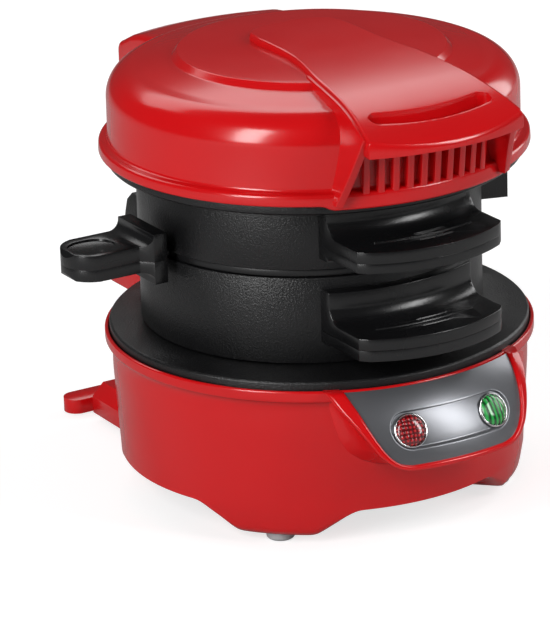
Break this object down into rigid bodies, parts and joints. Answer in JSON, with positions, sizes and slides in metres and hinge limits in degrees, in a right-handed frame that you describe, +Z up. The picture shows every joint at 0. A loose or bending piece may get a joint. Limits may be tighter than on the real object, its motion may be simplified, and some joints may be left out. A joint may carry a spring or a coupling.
{
  "type": "breakfast sandwich maker",
  "caption": "Round countertop sandwich cooker: base with heating plate, two hinged cooking rings, swing-out egg plate and hinged domed lid with strap handle.",
  "frame": {"origin": "on the table surface, midway between the four rubber feet, under the axis of the round base", "axes": "+Z up, the front with its control panel and handles faces -Y, +X is the right-hand side seen from the front"},
  "size_m": [0.1487, 0.1736, 0.14],
  "materials": {
    "red_gloss": "gloss",
    "black_plastic": "satin",
    "black_cast": "satin, fine cast texture, non-stick coat",
    "nonstick": "dark non-stick coat",
    "grey_panel": "metallic grey satin",
    "red_lens": "clear red",
    "green_lens": "clear green",
    "chrome_trim": "bright",
    "lamp_glass": "clear",
    "white_plastic": "matt",
    "black_rubber": "matt",
    "grey_rubber": "matt",
    "steel": "zinc plated"
  },
  "bodies": {
    "base": {"base_shell": "red_gloss", "bottom_cover": "black_plastic", "cover_screws": "steel", "rubber_feet": "grey_rubber", "rear_stabiliser": "red_gloss", "stabiliser_screws": "steel", "base_flange": "black_cast", "lower_heating_plate": "nonstick", "heating_plate_screws": "steel", "lower_heater": "steel", "lower_thermostat": "steel", "thermal_fuse": "steel", "terminal_block": "white_plastic", "cord_grommet": "black_rubber", "control_panel": "grey_panel", "power_lens": "red_lens", "ready_lens": "green_lens", "lens_rings": "chrome_trim", "power_lamp": "lamp_glass", "ready_lamp": "lamp_glass", "hinge_pin": "steel", "pin_clips": "steel"},
    "lower_ring": {"lower_ring": "black_cast", "lower_handle_top": "black_plastic", "lower_handle_base": "black_plastic", "lower_handle_screws": "steel"},
    "upper_ring": {"upper_ring": "black_cast", "upper_handle_top": "black_plastic", "upper_handle_base": "black_plastic", "upper_handle_screws": "steel", "plate_pivot_pin": "steel"},
    "egg_plate": {"egg_plate": "nonstick", "egg_handle_top": "black_plastic", "egg_handle_base": "black_plastic", "egg_handle_screws": "steel"},
    "lid": {"lid_shell": "red_gloss", "lid_handle": "red_gloss", "lid_liner": "black_cast", "liner_screws": "steel", "upper_heating_plate": "nonstick", "upper_heater": "steel", "upper_thermostat": "steel", "lid_hinge_arm": "black_plastic", "lid_arm_screws": "steel"}
  },
  "joints": [
    {"name": "lower_ring_hinge", "type": "hinge", "parent": "base", "child": "lower_ring", "pos_m": [0, 0.084, 0.05], "axis": [-1, 0, 0], "range_deg": [0, 30]},
    {"name": "upper_ring_hinge", "type": "hinge", "parent": "lower_ring", "child": "upper_ring", "pos_m": [0, 0.084, 0.05], "axis": [-1, 0, 0], "range_deg": [0, 30]},
    {"name": "lid_hinge", "type": "hinge", "parent": "upper_ring", "child": "lid", "pos_m": [0, 0.084, 0.05], "axis": [-1, 0, 0], "range_deg": [0, 50]},
    {"name": "egg_plate_swing", "type": "hinge", "parent": "upper_ring", "child": "egg_plate", "pos_m": [0, 0.07, 0.081], "axis": [0, 0, 1], "range_deg": [-100, 0]}
  ]
}
